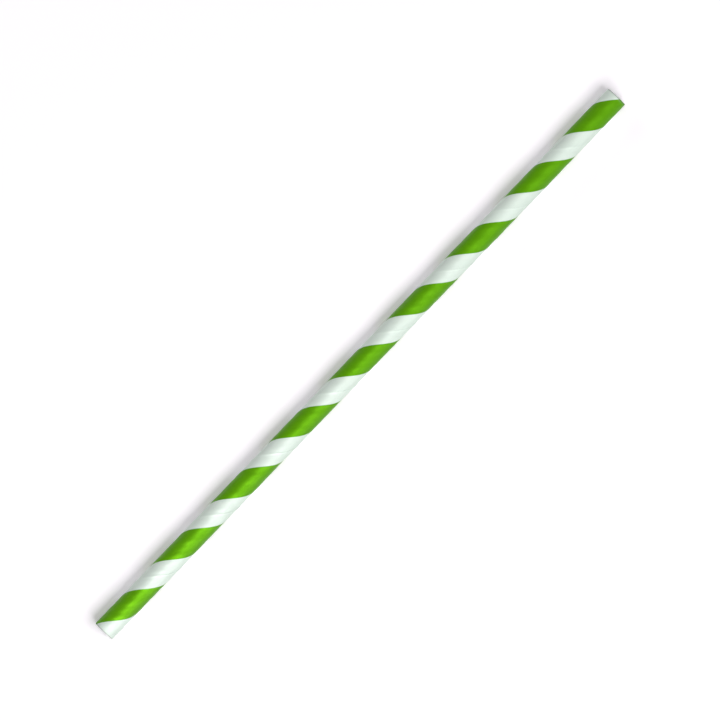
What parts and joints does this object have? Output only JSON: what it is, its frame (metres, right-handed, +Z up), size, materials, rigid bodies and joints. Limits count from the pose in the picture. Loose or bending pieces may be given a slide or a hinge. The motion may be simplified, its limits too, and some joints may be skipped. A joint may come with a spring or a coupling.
{
  "type": "paper drinking straw",
  "caption": "Straight paper drinking straw, a spiral-wound tube with square-cut ends, a low spiral lap seam and one printed spiral stripe.",
  "frame": {"origin": "on the surface the straw lies on, halfway along it and below its axis", "axes": "+X along the tube, from the end where the stripe starts on top to the other end; +Y sideways; +Z up"},
  "size_m": [0.197, 0.0062, 0.0063],
  "materials": {
    "paper": "smooth white machine-made paper with one matt leaf-green printed spiral stripe"
  },
  "bodies": {
    "root": {"straw": "paper"}
  },
  "joints": []
}
